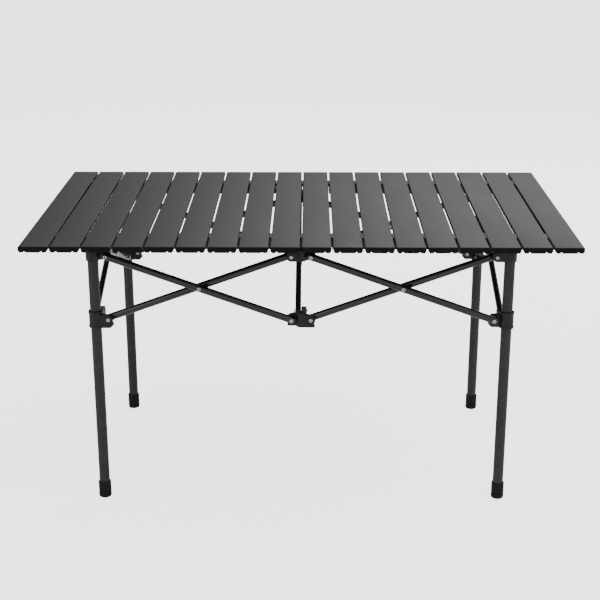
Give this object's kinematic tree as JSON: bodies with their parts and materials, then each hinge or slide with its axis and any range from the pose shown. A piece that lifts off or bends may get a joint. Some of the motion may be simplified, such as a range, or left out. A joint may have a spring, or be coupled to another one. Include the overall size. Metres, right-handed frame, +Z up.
{
  "type": "folding picnic table",
  "caption": "Low folding picnic table with a slatted roll-up top on a scissor frame with round legs, sliding joints and rubber feet.",
  "frame": {"origin": "on the ground under the middle of the tabletop", "axes": "+X left to right along the tabletop, +Y front to back, +Z up"},
  "size_m": [0.95, 0.55, 0.5],
  "materials": {
    "slat_coating": "matte dark grey coating on an aluminium extrusion, black plastic end caps",
    "leg_coating": "dark grey hammered powder coat",
    "bar_coating": "glossy black paint",
    "joint_plastic": "satin black moulded nylon",
    "foot_rubber": "matte black rubber",
    "rivet_steel": "plated steel rivet heads"
  },
  "bodies": {
    "root": {"front_top_hub": "joint_plastic", "front_top_hub_rivets": "rivet_steel"},
    "front_bottom_hub": {"front_bottom_hub": "joint_plastic", "front_bottom_hub_rivets": "rivet_steel"},
    "front_left_rising_bar": {"front_left_rising_bar": "bar_coating"},
    "front_left_falling_bar": {"front_left_falling_bar": "bar_coating"},
    "front_left_leg": {"front_left_leg": "leg_coating", "front_left_foot": "foot_rubber", "front_left_top_joint": "joint_plastic"},
    "front_left_slider": {"front_left_slider": "joint_plastic", "front_left_slider_rivets": "rivet_steel"},
    "front_right_rising_bar": {"front_right_rising_bar": "bar_coating"},
    "front_right_falling_bar": {"front_right_falling_bar": "bar_coating"},
    "front_right_leg": {"front_right_leg": "leg_coating", "front_right_foot": "foot_rubber", "front_right_top_joint": "joint_plastic"},
    "front_right_slider": {"front_right_slider": "joint_plastic", "front_right_slider_rivets": "rivet_steel"},
    "rear_top_hub": {"rear_top_hub": "joint_plastic", "rear_top_hub_rivets": "rivet_steel"},
    "rear_bottom_hub": {"rear_bottom_hub": "joint_plastic", "rear_bottom_hub_rivets": "rivet_steel"},
    "rear_left_rising_bar": {"rear_left_rising_bar": "bar_coating"},
    "rear_left_falling_bar": {"rear_left_falling_bar": "bar_coating"},
    "rear_left_leg": {"rear_left_leg": "leg_coating", "rear_left_foot": "foot_rubber", "rear_left_top_joint": "joint_plastic"},
    "rear_left_slider": {"rear_left_slider": "joint_plastic", "rear_left_slider_rivets": "rivet_steel"},
    "rear_right_rising_bar": {"rear_right_rising_bar": "bar_coating"},
    "rear_right_falling_bar": {"rear_right_falling_bar": "bar_coating"},
    "rear_right_leg": {"rear_right_leg": "leg_coating", "rear_right_foot": "foot_rubber", "rear_right_top_joint": "joint_plastic"},
    "rear_right_slider": {"rear_right_slider": "joint_plastic", "rear_right_slider_rivets": "rivet_steel"},
    "left_side_rising_bar": {"left_side_rising_bar": "bar_coating"},
    "left_side_falling_bar": {"left_side_falling_bar": "bar_coating"},
    "right_side_rising_bar": {"right_side_rising_bar": "bar_coating"},
    "right_side_falling_bar": {"right_side_falling_bar": "bar_coating"},
    "centre_rising_bar": {"centre_rising_bar": "bar_coating"},
    "centre_falling_bar": {"centre_falling_bar": "bar_coating"},
    "slat_01": {"slat_01": "slat_coating"},
    "slat_02": {"slat_02": "slat_coating"},
    "slat_03": {"slat_03": "slat_coating"},
    "slat_04": {"slat_04": "slat_coating"},
    "slat_05": {"slat_05": "slat_coating"},
    "slat_06": {"slat_06": "slat_coating"},
    "slat_07": {"slat_07": "slat_coating"},
    "slat_08": {"slat_08": "slat_coating"},
    "slat_09": {"slat_09": "slat_coating"},
    "slat_10": {"slat_10": "slat_coating"},
    "slat_11": {"slat_11": "slat_coating"},
    "slat_12": {"slat_12": "slat_coating"},
    "slat_13": {"slat_13": "slat_coating"},
    "slat_14": {"slat_14": "slat_coating"},
    "slat_15": {"slat_15": "slat_coating"},
    "slat_16": {"slat_16": "slat_coating"},
    "slat_17": {"slat_17": "slat_coating"},
    "slat_18": {"slat_18": "slat_coating"}
  },
  "joints": [
    {"name": "frame_fold", "type": "hinge", "parent": "root", "child": "centre_falling_bar", "pos_m": [0, -0.161, 0.464], "axis": [-1, 0, 0], "range_deg": [0, 60]},
    {"name": "centre_cross", "type": "hinge", "parent": "centre_falling_bar", "child": "centre_rising_bar", "pos_m": [0, 0, 0.406], "axis": [1, 0, 0], "range_deg": [0, 120]},
    {"name": "rear_top_hub_pivot", "type": "hinge", "parent": "centre_rising_bar", "child": "rear_top_hub", "pos_m": [0, 0.161, 0.464], "axis": [-1, 0, 0], "range_deg": [0, 60]},
    {"name": "rear_bottom_hub_pivot", "type": "hinge", "parent": "centre_falling_bar", "child": "rear_bottom_hub", "pos_m": [0, 0.161, 0.348], "axis": [1, 0, 0], "range_deg": [0, 60]},
    {"name": "front_left_hub_pivot", "type": "hinge", "parent": "root", "child": "front_left_rising_bar", "pos_m": [-0.017, -0.204, 0.464], "axis": [0, -1, 0], "range_deg": [0, 60]},
    {"name": "front_left_cross", "type": "hinge", "parent": "front_left_rising_bar", "child": "front_left_falling_bar", "pos_m": [-0.178, -0.204, 0.406], "axis": [0, 1, 0], "range_deg": [0, 120]},
    {"name": "front_left_leg_pivot", "type": "hinge", "parent": "front_left_falling_bar", "child": "front_left_leg", "pos_m": [-0.339, -0.204, 0.464], "axis": [0, -1, 0], "range_deg": [0, 60]},
    {"name": "front_left_slider_pivot", "type": "hinge", "parent": "front_left_rising_bar", "child": "front_left_slider", "pos_m": [-0.339, -0.204, 0.348], "axis": [0, 1, 0], "range_deg": [0, 60]},
    {"name": "front_right_hub_pivot", "type": "hinge", "parent": "root", "child": "front_right_falling_bar", "pos_m": [0.017, -0.204, 0.464], "axis": [0, 1, 0], "range_deg": [0, 60]},
    {"name": "front_right_cross", "type": "hinge", "parent": "front_right_falling_bar", "child": "front_right_rising_bar", "pos_m": [0.178, -0.204, 0.406], "axis": [0, -1, 0], "range_deg": [0, 120]},
    {"name": "front_right_leg_pivot", "type": "hinge", "parent": "front_right_rising_bar", "child": "front_right_leg", "pos_m": [0.339, -0.204, 0.464], "axis": [0, 1, 0], "range_deg": [0, 60]},
    {"name": "front_right_slider_pivot", "type": "hinge", "parent": "front_right_falling_bar", "child": "front_right_slider", "pos_m": [0.339, -0.204, 0.348], "axis": [0, -1, 0], "range_deg": [0, 60]},
    {"name": "rear_left_hub_pivot", "type": "hinge", "parent": "rear_top_hub", "child": "rear_left_rising_bar", "pos_m": [-0.017, 0.204, 0.464], "axis": [0, -1, 0], "range_deg": [0, 60]},
    {"name": "rear_left_cross", "type": "hinge", "parent": "rear_left_rising_bar", "child": "rear_left_falling_bar", "pos_m": [-0.178, 0.204, 0.406], "axis": [0, 1, 0], "range_deg": [0, 120]},
    {"name": "rear_left_leg_pivot", "type": "hinge", "parent": "rear_left_falling_bar", "child": "rear_left_leg", "pos_m": [-0.339, 0.204, 0.464], "axis": [0, -1, 0], "range_deg": [0, 60]},
    {"name": "rear_left_slider_pivot", "type": "hinge", "parent": "rear_left_rising_bar", "child": "rear_left_slider", "pos_m": [-0.339, 0.204, 0.348], "axis": [0, 1, 0], "range_deg": [0, 60]},
    {"name": "rear_right_hub_pivot", "type": "hinge", "parent": "rear_top_hub", "child": "rear_right_falling_bar", "pos_m": [0.017, 0.204, 0.464], "axis": [0, 1, 0], "range_deg": [0, 60]},
    {"name": "rear_right_cross", "type": "hinge", "parent": "rear_right_falling_bar", "child": "rear_right_rising_bar", "pos_m": [0.178, 0.204, 0.406], "axis": [0, -1, 0], "range_deg": [0, 120]},
    {"name": "rear_right_leg_pivot", "type": "hinge", "parent": "rear_right_rising_bar", "child": "rear_right_leg", "pos_m": [0.339, 0.204, 0.464], "axis": [0, 1, 0], "range_deg": [0, 60]},
    {"name": "rear_right_slider_pivot", "type": "hinge", "parent": "rear_right_falling_bar", "child": "rear_right_slider", "pos_m": [0.339, 0.204, 0.348], "axis": [0, -1, 0], "range_deg": [0, 60]},
    {"name": "front_bottom_hub_pivot", "type": "hinge", "parent": "front_left_falling_bar", "child": "front_bottom_hub", "pos_m": [-0.017, -0.204, 0.348], "axis": [0, -1, 0], "range_deg": [0, 60]},
    {"name": "left_side_leg_pivot", "type": "hinge", "parent": "front_left_leg", "child": "left_side_falling_bar", "pos_m": [-0.362, -0.161, 0.464], "axis": [-1, 0, 0], "range_deg": [0, 60]},
    {"name": "left_side_cross", "type": "hinge", "parent": "left_side_falling_bar", "child": "left_side_rising_bar", "pos_m": [-0.362, 0, 0.406], "axis": [1, 0, 0], "range_deg": [0, 120]},
    {"name": "right_side_leg_pivot", "type": "hinge", "parent": "front_right_leg", "child": "right_side_falling_bar", "pos_m": [0.362, -0.161, 0.464], "axis": [-1, 0, 0], "range_deg": [0, 60]},
    {"name": "right_side_cross", "type": "hinge", "parent": "right_side_falling_bar", "child": "right_side_rising_bar", "pos_m": [0.362, 0, 0.406], "axis": [1, 0, 0], "range_deg": [0, 120]},
    {"name": "top_lift", "type": "slide", "parent": "root", "child": "slat_10", "axis": [0, 0, 1], "range_m": [0, 0.3]},
    {"name": "top_roll_left", "type": "hinge", "parent": "slat_10", "child": "slat_09", "pos_m": [0, 0, 0.495], "axis": [0, 1, 0], "range_deg": [0, 18]},
    {"name": "slat_08_hinge", "type": "hinge", "parent": "slat_09", "child": "slat_08", "pos_m": [-0.05297, 0, 0.495], "axis": [0, 1, 0], "range_deg": [0, 18]},
    {"name": "slat_07_hinge", "type": "hinge", "parent": "slat_08", "child": "slat_07", "pos_m": [-0.10594, 0, 0.495], "axis": [0, 1, 0], "range_deg": [0, 18]},
    {"name": "slat_06_hinge", "type": "hinge", "parent": "slat_07", "child": "slat_06", "pos_m": [-0.15892, 0, 0.495], "axis": [0, 1, 0], "range_deg": [0, 18]},
    {"name": "slat_05_hinge", "type": "hinge", "parent": "slat_06", "child": "slat_05", "pos_m": [-0.21189, 0, 0.495], "axis": [0, 1, 0], "range_deg": [0, 18]},
    {"name": "slat_04_hinge", "type": "hinge", "parent": "slat_05", "child": "slat_04", "pos_m": [-0.26486, 0, 0.495], "axis": [0, 1, 0], "range_deg": [0, 18]},
    {"name": "slat_03_hinge", "type": "hinge", "parent": "slat_04", "child": "slat_03", "pos_m": [-0.31783, 0, 0.495], "axis": [0, 1, 0], "range_deg": [0, 18]},
    {"name": "slat_02_hinge", "type": "hinge", "parent": "slat_03", "child": "slat_02", "pos_m": [-0.37081, 0, 0.495], "axis": [0, 1, 0], "range_deg": [0, 18]},
    {"name": "slat_01_hinge", "type": "hinge", "parent": "slat_02", "child": "slat_01", "pos_m": [-0.42378, 0, 0.495], "axis": [0, 1, 0], "range_deg": [0, 18]},
    {"name": "top_roll_right", "type": "hinge", "parent": "slat_10", "child": "slat_11", "pos_m": [0.05297, 0, 0.495], "axis": [0, -1, 0], "range_deg": [0, 20]},
    {"name": "slat_12_hinge", "type": "hinge", "parent": "slat_11", "child": "slat_12", "pos_m": [0.10594, 0, 0.495], "axis": [0, -1, 0], "range_deg": [0, 20]},
    {"name": "slat_13_hinge", "type": "hinge", "parent": "slat_12", "child": "slat_13", "pos_m": [0.15892, 0, 0.495], "axis": [0, -1, 0], "range_deg": [0, 20]},
    {"name": "slat_14_hinge", "type": "hinge", "parent": "slat_13", "child": "slat_14", "pos_m": [0.21189, 0, 0.495], "axis": [0, -1, 0], "range_deg": [0, 20]},
    {"name": "slat_15_hinge", "type": "hinge", "parent": "slat_14", "child": "slat_15", "pos_m": [0.26486, 0, 0.495], "axis": [0, -1, 0], "range_deg": [0, 20]},
    {"name": "slat_16_hinge", "type": "hinge", "parent": "slat_15", "child": "slat_16", "pos_m": [0.31783, 0, 0.495], "axis": [0, -1, 0], "range_deg": [0, 20]},
    {"name": "slat_17_hinge", "type": "hinge", "parent": "slat_16", "child": "slat_17", "pos_m": [0.37081, 0, 0.495], "axis": [0, -1, 0], "range_deg": [0, 20]},
    {"name": "slat_18_hinge", "type": "hinge", "parent": "slat_17", "child": "slat_18", "pos_m": [0.42378, 0, 0.495], "axis": [0, -1, 0], "range_deg": [0, 20]}
  ],
  "couplings": [
    {"joint": "centre_cross", "follows": "frame_fold", "ratio": 2},
    {"joint": "rear_top_hub_pivot", "follows": "frame_fold", "ratio": 1},
    {"joint": "rear_bottom_hub_pivot", "follows": "frame_fold", "ratio": 1},
    {"joint": "front_left_hub_pivot", "follows": "frame_fold", "ratio": 1},
    {"joint": "front_left_cross", "follows": "frame_fold", "ratio": 2},
    {"joint": "front_left_leg_pivot", "follows": "frame_fold", "ratio": 1},
    {"joint": "front_left_slider_pivot", "follows": "frame_fold", "ratio": 1},
    {"joint": "front_right_hub_pivot", "follows": "frame_fold", "ratio": 1},
    {"joint": "front_right_cross", "follows": "frame_fold", "ratio": 2},
    {"joint": "front_right_leg_pivot", "follows": "frame_fold", "ratio": 1},
    {"joint": "front_right_slider_pivot", "follows": "frame_fold", "ratio": 1},
    {"joint": "rear_left_hub_pivot", "follows": "frame_fold", "ratio": 1},
    {"joint": "rear_left_cross", "follows": "frame_fold", "ratio": 2},
    {"joint": "rear_left_leg_pivot", "follows": "frame_fold", "ratio": 1},
    {"joint": "rear_left_slider_pivot", "follows": "frame_fold", "ratio": 1},
    {"joint": "rear_right_hub_pivot", "follows": "frame_fold", "ratio": 1},
    {"joint": "rear_right_cross", "follows": "frame_fold", "ratio": 2},
    {"joint": "rear_right_leg_pivot", "follows": "frame_fold", "ratio": 1},
    {"joint": "rear_right_slider_pivot", "follows": "frame_fold", "ratio": 1},
    {"joint": "front_bottom_hub_pivot", "follows": "frame_fold", "ratio": 1},
    {"joint": "left_side_leg_pivot", "follows": "frame_fold", "ratio": 1},
    {"joint": "left_side_cross", "follows": "frame_fold", "ratio": 2},
    {"joint": "right_side_leg_pivot", "follows": "frame_fold", "ratio": 1},
    {"joint": "right_side_cross", "follows": "frame_fold", "ratio": 2},
    {"joint": "slat_08_hinge", "follows": "top_roll_left", "ratio": 1},
    {"joint": "slat_07_hinge", "follows": "top_roll_left", "ratio": 1},
    {"joint": "slat_06_hinge", "follows": "top_roll_left", "ratio": 1},
    {"joint": "slat_05_hinge", "follows": "top_roll_left", "ratio": 1},
    {"joint": "slat_04_hinge", "follows": "top_roll_left", "ratio": 1},
    {"joint": "slat_03_hinge", "follows": "top_roll_left", "ratio": 1},
    {"joint": "slat_02_hinge", "follows": "top_roll_left", "ratio": 1},
    {"joint": "slat_01_hinge", "follows": "top_roll_left", "ratio": 1},
    {"joint": "slat_12_hinge", "follows": "top_roll_right", "ratio": 1},
    {"joint": "slat_13_hinge", "follows": "top_roll_right", "ratio": 1},
    {"joint": "slat_14_hinge", "follows": "top_roll_right", "ratio": 1},
    {"joint": "slat_15_hinge", "follows": "top_roll_right", "ratio": 1},
    {"joint": "slat_16_hinge", "follows": "top_roll_right", "ratio": 1},
    {"joint": "slat_17_hinge", "follows": "top_roll_right", "ratio": 1},
    {"joint": "slat_18_hinge", "follows": "top_roll_right", "ratio": 1}
  ]
}
